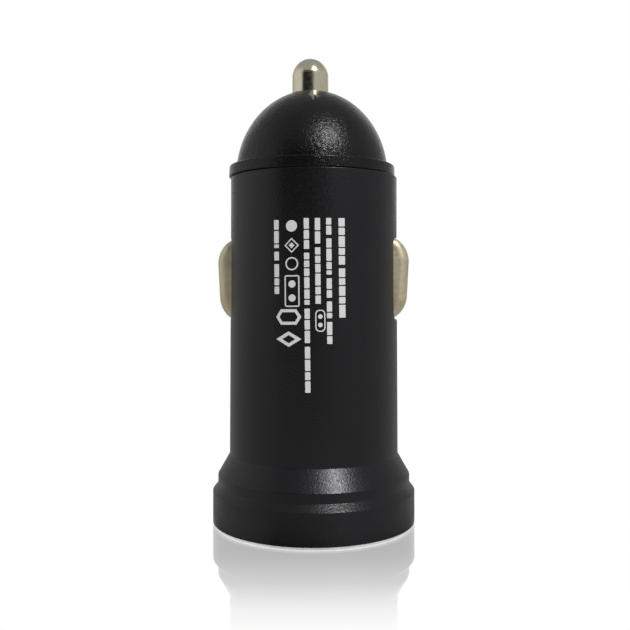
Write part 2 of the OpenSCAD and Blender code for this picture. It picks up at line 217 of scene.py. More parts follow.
# ---------------------------------------------------------------- material helpers
class Tree:
    def __init__(self, name):
        self.mat = bpy.data.materials.new(name)
        self.mat.use_nodes = True
        self.nt = self.mat.node_tree
        self.nt.nodes.clear()
        self.out = self.new("ShaderNodeOutputMaterial")
        self.bsdf = self.new("ShaderNodeBsdfPrincipled")
        self.nt.links.new(self.bsdf.outputs["BSDF"], self.out.inputs["Surface"])
        self.coord = self.new("ShaderNodeTexCoord").outputs["Object"]

    def new(self, kind, **props):
        n = self.nt.nodes.new(kind)
        for k, v in props.items():
            setattr(n, k, v)
        return n

    def link(self, a, b):
        self.nt.links.new(a, b)

    def scaled(self, sx, sy, sz):
        m = self.new("ShaderNodeMapping")
        m.inputs["Scale"].default_value = (sx, sy, sz)
        self.link(self.coord, m.inputs["Vector"])
        return m.outputs["Vector"]

    def noise(self, size_mm, detail=2.0, rough=0.5, vector=None, distortion=0.0):
        n = self.new("ShaderNodeTexNoise")
        n.inputs["Scale"].default_value = 1000.0 / size_mm
        n.inputs["Detail"].default_value = detail
        n.inputs["Roughness"].default_value = rough
        n.inputs["Distortion"].default_value = distortion
        self.link(vector or self.coord, n.inputs["Vector"])
        return n.outputs["Fac"]

    def cells(self, size_mm, feature="F1", vector=None):
        n = self.new("ShaderNodeTexVoronoi", feature=feature)
        n.inputs["Scale"].default_value = 1000.0 / size_mm
        self.link(vector or self.coord, n.inputs["Vector"])
        return n

    def ramp(self, fac, stops):
        r = self.new("ShaderNodeValToRGB")
        els = r.color_ramp.elements
        while len(els) < len(stops):
            els.new(0.5)
        for e, (p, c) in zip(els, stops):
            e.position = p
            e.color = (*c, 1.0) if len(c) == 3 else c
        self.link(fac, r.inputs["Fac"])
        return r.outputs["Color"]

    def span(self, fac, a, b, lo=0.0, hi=1.0):
        m = self.new("ShaderNodeMapRange")
        m.inputs["From Min"].default_value = lo
        m.inputs["From Max"].default_value = hi
        m.inputs["To Min"].default_value = a
        m.inputs["To Max"].default_value = b
        self.link(fac, m.inputs["Value"])
        return m.outputs["Result"]

    def math(self, op, a, b=None, clamp=False):
        m = self.new("ShaderNodeMath", operation=op, use_clamp=clamp)
        for i, v in enumerate((a, b)):
            if v is None:
                continue
            if isinstance(v, (int, float)):
                m.inputs[i].default_value = v
            else:
                self.link(v, m.inputs[i])
        return m.outputs[0]

    def mix(self, fac, a, b):
        m = self.new("ShaderNodeMix", data_type="RGBA")
        if isinstance(fac, (int, float)):
            m.inputs[0].default_value = fac
        else:
            self.link(fac, m.inputs[0])
        for i, v in ((6, a), (7, b)):
            if isinstance(v, (tuple, list)):
                m.inputs[i].default_value = (*v, 1.0) if len(v) == 3 else v
            else:
                self.link(v, m.inputs[i])
        return m.outputs[2]

    def bump(self, height, strength, depth_mm, normal=None):
        b = self.new("ShaderNodeBump")
        b.inputs["Strength"].default_value = strength
        b.inputs["Distance"].default_value = depth_mm * MM
        self.link(height, b.inputs["Height"])
        if normal is not None:
            self.link(normal, b.inputs["Normal"])
        return b.outputs["Normal"]

    def set(self, **inputs):
        for key, v in inputs.items():
            s = self.bsdf.inputs[key.replace("_", " ")]
            if isinstance(v, bpy.types.NodeSocket):
                self.link(v, s)
            elif isinstance(v, (tuple, list)):
                s.default_value = (*v, 1.0) if len(v) == 3 else v
            else:
                s.default_value = v
        return self


def anodised():
    """Bead-blasted aluminium, anodised black: fine grain that sparkles in a highlight."""
    t = Tree("black_anodised")
    cloud = t.noise(6.0, 3)
    grain = t.noise(0.26, 2, 0.6)
    pits = t.cells(0.22).outputs["Distance"]
    t.set(Base_Color=t.mix(t.span(cloud, 0.0, 1.0, 0.35, 0.65), (0.0034, 0.0034, 0.0040), (0.0052, 0.0052, 0.0060)),
          Metallic=0.0, IOR=1.5, Specular_Tint=(0.95, 0.95, 1.0),
          Roughness=t.span(grain, 0.27, 0.39, 0.3, 0.7))
    n = t.bump(pits, 0.4, 0.022)
    t.set(Normal=t.bump(grain, 0.6, 0.040, n))
    return t.mat


def bright_cut():
    """The rim's chamfer, cut bright after the anodising."""
    t = Tree("bright_edge")
    lines = t.noise(0.05, 2, 0.6, t.scaled(0.25, 0.25, 4.0))
    spots = t.noise(0.9, 2, 0.5)
    t.set(Base_Color=t.mix(t.span(spots, 0.0, 1.0, 0.35, 0.65), (0.80, 0.74, 0.72), (0.95, 0.93, 0.92)), Metallic=1.0,
          Roughness=t.span(lines, 0.16, 0.28), Normal=t.bump(lines, 0.2, 0.01))
    return t.mat


def cap_plastic():
    """Black moulded plastic with a spark-eroded texture."""
    t = Tree("cap_plastic")
    grain = t.noise(0.42, 3, 0.65)
    fine = t.noise(0.12, 2, 0.5)
    cloud = t.noise(5.0, 2)
    t.set(Base_Color=t.mix(t.span(cloud, 0.0, 1.0, 0.35, 0.65), (0.0040, 0.0040, 0.0042), (0.0062, 0.0062, 0.0064)),
          IOR=1.41, Roughness=t.span(fine, 0.21, 0.28, 0.3, 0.7))
    n = t.bump(grain, 1.0, 0.085)
    t.set(Normal=t.bump(fine, 0.5, 0.018, n))
    return t.mat


def pin_nickel():
    """Nickel plate over turned brass: warm, with fine pits and rubbed rings."""
    t = Tree("pin_nickel")
    rings = t.noise(0.10, 2, 0.5, t.scaled(0.15, 0.15, 2.0))
    pits = t.noise(0.22, 3, 0.6)
    stain = t.noise(1.4, 3, 0.6)
    t.set(Base_Color=t.ramp(stain, [(0.3, (0.88, 0.79, 0.52)), (0.5, (0.92, 0.85, 0.64)), (0.7, (0.90, 0.86, 0.74))]),
          Metallic=1.0, Roughness=t.span(pits, 0.12, 0.26, 0.35, 0.7))
    n = t.bump(rings, 0.12, 0.010)
    t.set(Normal=t.bump(pits, 0.6, 0.030, n))
    return t.mat


def contact_nickel():
    """Satin nickel plate with a warm tint, a little mottled and rubbed brown where the socket has worn it."""
    t = Tree("contact_nickel")
    mottle = t.noise(0.55, 3, 0.6)
    broad = t.noise(2.6, 2, 0.5)
    brush = t.noise(0.07, 2, 0.6, t.scaled(1.0, 1.0, 0.25))
    base = t.mix(t.span(mottle, 0.0, 1.0, 0.3, 0.7), (0.76, 0.69, 0.47), (0.88, 0.82, 0.59))
    t.set(Base_Color=t.mix(t.span(broad, 0.0, 0.7, 0.45, 0.72), base, (0.62, 0.49, 0.37)),
          Metallic=1.0, Roughness=t.span(mottle, 0.44, 0.56, 0.3, 0.7))
    n = t.bump(mottle, 0.15, 0.020)
    t.set(Normal=t.bump(brush, 0.25, 0.006, n))
    return t.mat


def ink():
    """White pad print."""
    t = Tree("print_ink")
    wear = t.noise(0.12, 3, 0.6)
    t.set(Base_Color=t.mix(t.span(wear, 0.0, 1.0, 0.35, 0.6), (0.90, 0.90, 0.90), (1.0, 1.0, 1.0)),
          Roughness=0.55, IOR=1.45, Normal=t.bump(wear, 0.2, 0.006))
    return t.mat


def metal(name, c1, c2, r1, r2, size=0.4, stretch=(1, 1, 1), bump=0.01):
    t = Tree(name)
    f = t.noise(size, 3, 0.6, t.scaled(*stretch))
    g = t.noise(size * 5, 2)
    t.set(Base_Color=t.mix(t.span(g, 0.0, 1.0, 0.35, 0.65), c1, c2), Metallic=1.0,
          Roughness=t.span(f, r1, r2, 0.3, 0.7), Normal=t.bump(f, 0.3, bump))
    return t.mat


def plastic(name, c1, c2, r1, r2, size=0.2, bump=0.012, ior=1.5):
    t = Tree(name)
    f = t.noise(size, 3, 0.6)
    g = t.noise(size * 18, 2)
    t.set(Base_Color=t.mix(t.span(g, 0.0, 1.0, 0.35, 0.65), c1, c2), IOR=ior,
          Roughness=t.span(f, r1, r2, 0.3, 0.7), Normal=t.bump(f, 0.45, bump))
    return t.mat


def laminate():
    """Green solder resist over glass weave, with the copper's edges just showing."""
    t = Tree("board_laminate")
    w = t.new("ShaderNodeTexWave", wave_type="BANDS", bands_direction="X")
    w.inputs["Scale"].default_value = 900.0
    w.inputs["Distortion"].default_value = 1.0
    t.link(t.coord, w.inputs["Vector"])
    tracks = t.cells(2.2, "DISTANCE_TO_EDGE").outputs["Distance"]
    edge = t.math("LESS_THAN", tracks, 0.05)
    t.set(Base_Color=t.mix(edge, (0.012, 0.085, 0.038), (0.02, 0.15, 0.06)), IOR=1.5, Roughness=0.3,
          Normal=t.bump(w.outputs["Fac"], 0.2, 0.01))
    return t.mat


MATS = {
    "black_anodised": anodised(),
    "bright_edge": bright_cut(),
    "cap_plastic": cap_plastic(),
    "pin_nickel": pin_nickel(),
    "contact_nickel": contact_nickel(),
    "print_ink": ink(),
    "spring_steel": metal("spring_steel", (0.50, 0.50, 0.51), (0.62, 0.62, 0.62), 0.22, 0.36, 0.08),
    "terminal_brass": metal("terminal_brass", (0.78, 0.56, 0.24), (0.86, 0.66, 0.32), 0.22, 0.38, 0.3),
    "strap_nickel": metal("strap_nickel", (0.62, 0.60, 0.54), (0.72, 0.70, 0.64), 0.25, 0.42, 0.3),
    "carrier_plastic": plastic("carrier_plastic", (0.62, 0.60, 0.53), (0.70, 0.68, 0.61), 0.40, 0.55),
    "plate_plastic": plastic("plate_plastic", (0.0135, 0.0135, 0.0140), (0.0185, 0.0185, 0.0190), 0.34, 0.46, 0.16, 0.02),
    "shell_steel": metal("shell_steel", (0.66, 0.66, 0.66), (0.76, 0.76, 0.75), 0.20, 0.34, 0.5, (1, 1, 0.15)),
    "tongue_plastic": plastic("tongue_plastic", (0.022, 0.022, 0.024), (0.03, 0.03, 0.032), 0.40, 0.52, 0.12, 0.01),
    "contact_gold": metal("contact_gold", (0.90, 0.66, 0.27), (0.96, 0.75, 0.38), 0.16, 0.28, 0.25, (1, 1, 0.2)),
    "board_laminate": laminate(),
    "ferrite": plastic("ferrite", (0.05, 0.05, 0.054), (0.075, 0.075, 0.08), 0.45, 0.62, 0.18, 0.02),
    "capacitor_can": metal("capacitor_can", (0.66, 0.67, 0.69), (0.74, 0.75, 0.77), 0.25, 0.36, 0.3, (1, 1, 0.2)),
    "chip_epoxy": plastic("chip_epoxy", (0.016, 0.016, 0.017), (0.022, 0.022, 0.023), 0.42, 0.58, 0.1, 0.008),
    "fuse_ceramic": plastic("fuse_ceramic", (0.66, 0.65, 0.58), (0.74, 0.73, 0.67), 0.2, 0.35, 0.2, 0.006),
    "resistor_ceramic": plastic("resistor_ceramic", (0.03, 0.03, 0.033), (0.05, 0.05, 0.055), 0.2, 0.4, 0.2, 0.006),
    "capacitor_ceramic": plastic("capacitor_ceramic", (0.40, 0.28, 0.16), (0.48, 0.35, 0.21), 0.35, 0.5, 0.2, 0.006),
}


# ---------------------------------------------------------------- housing
def build_housing():
    segs = 256
    half_cols = 21
    z_rows = [23.0 + 0.6 * k for k in range(25)]
    lo_outer = rounded_path([
        (11.2, 0.2, 0), (11.4, 0.0, 0), (HEAD_R - 0.3, 0.0, 0), (HEAD_R, 0.3, 0), (HEAD_R, 4.1, 0.09),
        (GROOVE_R, 4.93, 0.09), (GROOVE_R, 6.07, 0.12), (ROOT_R, 8.56, 0.12), (barrel_radius(11.5), 11.5, 0)])
    rim = next(i for i, (r, z) in enumerate(lo_outer) if z > 0.29)
    lo_outer = lo_outer[:rim] + supported(lo_outer[rim:])
    profile = [(r, z, None) for r, z in lo_outer]
    for z in (14.0, 17.0, 20.0):
        profile.append((barrel_radius(z), z, None))
    first_outer = len(profile)
    for z in z_rows:
        profile.append((barrel_radius(z), z, None))
    top = rounded_path([(BARREL_R, 40.0, 0), (BARREL_R, BARREL_TOP, 0.10), (BORE, BARREL_TOP, 0.08), (BORE, 41.5, 0)])
    profile += [(r, z, None) for r, z in supported(top)]
    first_inner = len(profile)
    for z in reversed(z_rows):
        profile.append((BORE, z, None))
    for r, z in ((BORE, 16.0), (BORE, 9.0), (BORE, 2.5), (11.2, 2.5)):
        profile.append((r, z, None))
    verts, rings = [], []
    for r, z, _ in profile:
        start = len(verts)
        for k in range(segs):
            a = 2 * math.pi * k / segs
            verts.append((r * math.cos(a), r * math.sin(a), z))
        rings.append(start)
    faces, fm = [], []
    n_rows = len(z_rows)

    def in_window(k):
        # column k spans k..k+1; the windows are centred on 0 and on segs/2
        for c in (0, segs // 2):
            d = (k - (c - half_cols)) % segs
            if d < 2 * half_cols:
                return True
        return False
    for i in range(len(rings)):
        j = (i + 1) % len(rings)
        outer_win = first_outer <= i < first_outer + n_rows - 1
        inner_win = first_inner <= i < first_inner + n_rows - 1
        # the chamfer is the third stretch of the profile
        r0, z0, _ = profile[i]
        r1, z1, _ = profile[j]
        bright = abs(z0) < 1e-9 and abs(r0 - HEAD_R + 0.3) < 1e-6
        for k in range(segs):
            if (outer_win or inner_win) and in_window(k):
                continue
            k2 = (k + 1) % segs
            faces.append((rings[i] + k, rings[i] + k2, rings[j] + k2, rings[j] + k))
            fm.append(1 if bright else 0)
    n_w, n_h = 2 * half_cols, n_rows - 1

    def loop_points(w, h, r):
        return rounded_rect(w, h, r, n_w, n_h)

    for side in (1, -1):
        c = 0 if side > 0 else segs // 2

        def perimeter(ring_of_row):
            """Grid vertices round the window, from its lower left corner as seen from outside."""
            cols = [(c - half_cols + m) % segs for m in range(n_w + 1)]
            out = [ring_of_row(0) + cols[m] for m in range(n_w)]
            out += [ring_of_row(m) + cols[n_w] for m in range(n_h)]
            out += [ring_of_row(n_h) + cols[n_w - m] for m in range(n_w)]
            out += [ring_of_row(n_h - m) + cols[0] for m in range(n_h)]
            return out
        outer = perimeter(lambda m: rings[first_outer + m])
        inner = perimeter(lambda m: rings[first_inner + n_rows - 1 - m])
        edge = 0.14

        def on_surface(loop, radius_of, steps, target):
            """Adds loops between a perimeter and the slot's outline on a turned surface; yields each new loop with the
            one before it.
            """
            prev = loop
            start = []
            for v in loop:
                x, y, z = verts[v]
                start.append((math.atan2(y * side, x * side), z))
            for s in range(1, steps + 1):
                t = s / steps
                t = 1 - (1 - t) ** 1.35
                cur = []
                for (a0, z0), (yy, zz) in zip(start, target):
                    z1 = SLOT_Z + zz
                    a1 = math.asin(yy / radius_of(z1))
                    a, z = a0 + (a1 - a0) * t, z0 + (z1 - z0) * t
                    r = radius_of(z)
                    cur.append(len(verts))
                    verts.append((side * r * math.cos(a), side * r * math.sin(a), z))
                yield prev, cur
                prev = cur
        slot = loop_points(SLOT_W, SLOT_H, SLOT_R)
        wide = loop_points(SLOT_W + 2 * edge, SLOT_H + 2 * edge, SLOT_R + edge)
        n = len(outer)
        last = outer
        for prev, cur in on_surface(outer, barrel_radius, 6, wide):
            for k in range(n):
                faces.append((prev[k], prev[(k + 1) % n], cur[(k + 1) % n], cur[k]))
                fm.append(0)
            last = cur
        for depth, outline in ((edge * 0.35, loop_points(SLOT_W + 0.75 * edge, SLOT_H + 0.75 * edge, SLOT_R + edge * 0.4)),
                               (edge, slot)):
            cur = []
            for yy, zz in outline:
                z = SLOT_Z + zz
                x = math.sqrt((barrel_radius(z) - depth) ** 2 - yy * yy)
                cur.append(len(verts))
                verts.append((side * x, side * yy, z))
            for k in range(n):
                faces.append((last[k], last[(k + 1) % n], cur[(k + 1) % n], cur[k]))
                fm.append(0)
            last = cur
        inner_last = inner
        for prev, cur in on_surface(inner, lambda z: BORE, 4, slot):
            for k in range(n):
                faces.append((prev[(k + 1) % n], prev[k], cur[k], cur[(k + 1) % n]))
                fm.append(0)
            inner_last = cur
        for k in range(n):
            faces.append((last[k], last[(k + 1) % n], inner_last[(k + 1) % n], inner_last[k]))
            fm.append(0)
    o = make("housing_shell", verts, faces, (MATS["black_anodised"], MATS["bright_edge"]), fm, 34)
    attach(o, "plug")
    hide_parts("housing")
    return o


# ---------------------------------------------------------------- nose cap
def build_cap():
    dome_r, dome_z, rise = DOME_R, DOME_Z, DOME_RISE
    z_foot, z_flange = 42.78, 44.21
    a0 = math.asin((z_flange + 0.25 - dome_z) / rise)
    hole = 2.38
    a1 = math.acos((hole + 0.42) / dome_r)
    dome = [(dome_r * math.cos(a0 + (a1 - a0) * i / 40), dome_z + rise * math.sin(a0 + (a1 - a0) * i / 40)) for i in range(41)]
    start = rounded_path([
        (7.65, 38.8, 0), (8.9, 38.8, 0), (9.05, 38.95, 0), (9.05, z_foot, 0), (BARREL_R - 0.45, z_foot, 0), (BARREL_R - 0.45, z_foot + 0.08, 0),
        (BARREL_R, z_foot + 0.08, 0.10), (BARREL_R - 0.05, z_flange, 0.20), (dome_r * math.cos(a0) + 0.16, z_flange, 0)])
    foot = rounded_path([start[-1] + (0,), (dome_r * math.cos(a0) + 0.02, z_flange, 0.10), dome[0] + (0,)])
    outer = supported(start[:-1] + foot[:-1]) + dome
    hole_edge = rounded_path([dome[-1] + (0,), (hole + CAP_X - PIN_X + 0.02, dome_z + rise * math.sin(math.acos((hole + 0.1) / dome_r)), 0.12),
                              (hole, 52.4, 0)])
    # the guide hole stands with the pin, 0.2 mm from the dome's axis, so its rings move over with it
    inner_r = 7.65
    ga = math.acos(4.5 / inner_r)
    guide = PIN_TOP - 7.75
    inside = [(4.5, guide)] + [(inner_r * math.cos(ga * i / 12), dome_z + (rise - 1.4) * math.sin(ga * i / 12)) for i in range(12, -1, -1)]
    profile = [(r, z, CAP_X) for r, z in outer]
    profile += [(hole + 0.30, hole_edge[1][1] + 0.005, CAP_X + (PIN_X - CAP_X) * 0.5)]
    profile += [(hole + 0.10, hole_edge[1][1] - 0.015, PIN_X), (hole + 0.02, hole_edge[1][1] - 0.08, PIN_X),
                (hole, hole_edge[1][1] - 0.2, PIN_X), (hole, guide, PIN_X)]
    profile += [(r, z, CAP_X) for r, z in inside]
    segs = 160
    verts, rings = [], []
    for r, z, cx in profile:
        rings.append(len(verts))
        for k in range(segs):
            a = 2 * math.pi * k / segs
            verts.append((cx + r * math.cos(a), r * math.sin(a), z))
    faces = []
    for i in range(len(rings)):
        j = (i + 1) % len(rings)
        for k in range(segs):
            k2 = (k + 1) % segs
            faces.append((rings[i] + k, rings[i] + k2, rings[j] + k2, rings[j] + k))
    o = make("nose_cap_moulding", verts, faces, (MATS["cap_plastic"],), None, 34)
    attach(o, "plug")
    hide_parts("nose_cap")
    return o


# ---------------------------------------------------------------- centre pin
def build_pin():
    r = 2.3
    top = PIN_TOP
    foot, shoulder = top - 9.05, top - 7.85
    body = rounded_path([(0.0, foot - 2, 0), (1.3, foot - 2, 0), (1.6, foot - 1.7, 0), (1.6, foot, 0), (3.2, foot, 0.12),
                         (3.2, shoulder, 0.12), (r, shoulder, 0.05), (r, top - r, 0)])
    steps = 22
    tip = [(r * math.cos(math.pi / 2 * k / steps), top - r + r * math.sin(math.pi / 2 * k / steps)) for k in range(1, steps)]
    profile = supported(body) + tip + [(0.0, top)]
    o = lathe("centre_pin_turned", profile, PIN_X, 96, False, (MATS["pin_nickel"],))
    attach(o, "pin")
    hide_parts("centre_pin")
    return o


# ---------------------------------------------------------------- side contacts
def contact_path():
    """Side view of a contact, (x, z), from its upper foot round to its lower foot."""
    R, out, lean = 3.2, CONTACT_OUT, CONTACT_LEAN
    zt, zb = CONTACT_Z + CONTACT_H / 2, CONTACT_Z - CONTACT_H / 2
    ct, cb = (out - R, 32.15), (out - lean - R, 28.02)
    tilt = math.atan(lean / 4.13)
    at, ab = math.asin((zt - ct[1]) / R), math.asin((cb[1] - zb) / R)
    n = 16
    # a small round turns the end wall into the large corner
    arc_t = [(ct[0] + R * math.cos(at + (-tilt - at) * k / n), ct[1] + R * math.sin(at + (-tilt - at) * k / n)) for k in range(n + 1)]
    arc_b = [(cb[0] + R * math.cos(-tilt + (-ab + tilt) * k / n), cb[1] + R * math.sin(-tilt + (-ab + tilt) * k / n)) for k in range(n + 1)]
    corner_t = rounded_path([(9.2, zt, 0), (arc_t[0][0], arc_t[0][1], 1.0), (arc_t[3][0], arc_t[3][1], 0)])
    corner_b = rounded_path([(arc_b[-4][0], arc_b[-4][1], 0), (arc_b[-1][0], arc_b[-1][1], 1.0), (9.2, zb, 0)])
    mid = [(arc_t[-1][0] + (arc_b[0][0] - arc_t[-1][0]) * k / 6, arc_t[-1][1] + (arc_b[0][1] - arc_t[-1][1]) * k / 6) for k in range(1, 6)]
    return ([(FOOT, zt), (8.7, zt), (9.2, zt)] + corner_t[1:-1] + arc_t[3:] + mid + arc_b[:-3] + corner_b[1:-1]
            + [(9.2, zb), (8.7, zb), (FOOT, zb)])


def inward(path):
    """Unit normals of a contact's outline, toward its hollow side; straight down or up at the two feet."""
    out = []
    n = len(path)
    for i in range(n):
        if i in (0, n - 1):
            out.append((0.0, -1.0 if i == 0 else 1.0))
            continue
        tx, tz = path[i + 1][0] - path[i - 1][0], path[i + 1][1] - path[i - 1][1]
        L = math.hypot(tx, tz)
        out.append((tz / L, -tx / L))
    return out


def contact_rows(verts, path, w, bend, end_bend):
    """Points of a strip of width w along path, its long edges turned over by bend, or by end_bend at the ends."""
    zt, zb = path[0][1], path[-1][1]
    arc = 6
    rows = []
    for (x, z), (nx, nz) in zip(path, inward(path)):
        near = max(0.0, 1.0 - min(abs(z - zt), abs(z - zb)) / 1.6)
        near = near * near * (3 - 2 * near)
        b = bend + (end_bend - bend) * near
        sect = [(b * (1 - math.sin(math.pi / 2 * k / arc)), -w / 2 + b * (1 - math.cos(math.pi / 2 * k / arc))) for k in range(arc + 1)]
        sect = sect + [(0.0, -w / 6), (0.0, w / 6)] + [(o, -y) for o, y in reversed(sect)]
        row = []
        for off, y in sect:
            row.append(len(verts))
            verts.append((x + nx * off, y, z + nz * off))
        rows.append(row)
    return rows


def build_contact(side):
    """A drawn sheet tab: crown, two end walls and two flanks, open on its inner side."""
    import bmesh
    name = "side_contact_tab_" + ("right" if side > 0 else "left")
    t = 0.5
    path = contact_path()
    inner_path = [(x + nx * t, z + nz * t) for (x, z), (nx, nz) in zip(path, inward(path))]
    verts, faces = [], []
    out_rows = contact_rows(verts, path, CONTACT_W, 1.15, 0.80)
    in_rows = contact_rows(verts, inner_path, CONTACT_W - 2 * t, 0.65, 0.30)
    n, m = len(path), len(out_rows[0])
    for i in range(n - 1):
        for k in range(m - 1):
            faces.append((out_rows[i][k], out_rows[i + 1][k], out_rows[i + 1][k + 1], out_rows[i][k + 1]))
            faces.append((in_rows[i][k + 1], in_rows[i + 1][k + 1], in_rows[i + 1][k], in_rows[i][k]))
    for i in (0, n - 1):
        for k in range(m - 1):
            faces.append((out_rows[i][k], out_rows[i][k + 1], in_rows[i][k + 1], in_rows[i][k]))
    for e in (0, m - 1):
        faces.append([row[e] for row in out_rows])
        faces.append([row[e] for row in in_rows])
        faces.append((out_rows[-1][e], out_rows[0][e], in_rows[0][e], in_rows[-1][e]))
    tab = make(name, verts, faces, (MATS["contact_nickel"],), None, 0)
    bm = bmesh.new()
    bm.from_mesh(tab.data)
    # ears that stop the tab inside the slot
    for end in (-1, 1):
        z0 = CONTACT_Z + end * (CONTACT_H / 2 - 0.3)
        z1 = CONTACT_Z + end * (CONTACT_H / 2 + 1.1)
        made = bmesh.ops.create_cube(bm, size=1.0)
        for v in made["verts"]:
            v.co = Vector(((8.22 + (v.co.x + 0.5) * 0.5) * MM, v.co.y * 3.96 * MM, (z0 + (v.co.z + 0.5) * (z1 - z0)) * MM))
        edges = {e for v in made["verts"] for e in v.link_edges}
        bmesh.ops.bevel(bm, geom=list(edges), offset=0.12 * MM, segments=2, profile=0.5, affect="EDGES")
    for v in bm.verts:
        if side < 0:
            v.co.x = -v.co.x
        else:
            v.co.z += CONTACT_PLAY * MM
    bmesh.ops.recalc_face_normals(bm, faces=bm.faces)
    for f in bm.faces:
        f.smooth = True
    bm.to_mesh(tab.data)
    bm.free()
    tab.data.set_sharp_from_angle(angle=math.radians(38))
    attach(tab, "right_contact" if side > 0 else "left_contact")
    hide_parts("side_contact_right" if side > 0 else "side_contact_left")
    return tab


# ---------------------------------------------------------------- springs
def build_spring(name, node, radius, wire, length, turns, place, body, slot="spring_steel"):
    """A coil of round wire from 0 to length along Z, put in place by a matrix in millimetres."""
    per, sides = 22, 12
    n = int(turns * per)
    low = wire * 1.15
    run = length - wire * 1.04

    def climb(u):
        if u < 1:
            return u * low
        if u > turns - 1:
            return run - (turns - u) * low
        return low + (u - 1) * (run - 2 * low) / (turns - 2)
    verts, faces = [], []
    for i in range(n + 1):
        u = turns * i / n
        a = 2 * math.pi * u
        u0, u1 = max(0, u - 0.05), min(turns, u + 0.05)
        b = math.atan((climb(u1) - climb(u0)) / (u1 - u0) / (2 * math.pi * radius))
        for k in range(sides):
            q = 2 * math.pi * k / sides
            p, s = wire / 2 * math.cos(q), wire / 2 * math.sin(q)
            v = Vector((math.cos(a) * (radius + p) + math.sin(a) * math.sin(b) * s,
                        math.sin(a) * (radius + p) - math.cos(a) * math.sin(b) * s,
                        wire * 0.52 + climb(u) + math.cos(b) * s))
            verts.append(tuple(place @ v))
    for i in range(n):
        for k in range(sides):
            k2 = (k + 1) % sides
            faces.append((i * sides + k, i * sides + k2, (i + 1) * sides + k2, (i + 1) * sides + k))
    faces.append([k for k in range(sides - 1, -1, -1)])
    faces.append([n * sides + k for k in range(sides)])
    o = make(name, verts, faces, (MATS[slot],), None, 40)
    if place.to_3x3().determinant() < 0:
        o.data.flip_normals()
    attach(o, body)
    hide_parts(node)
    return o


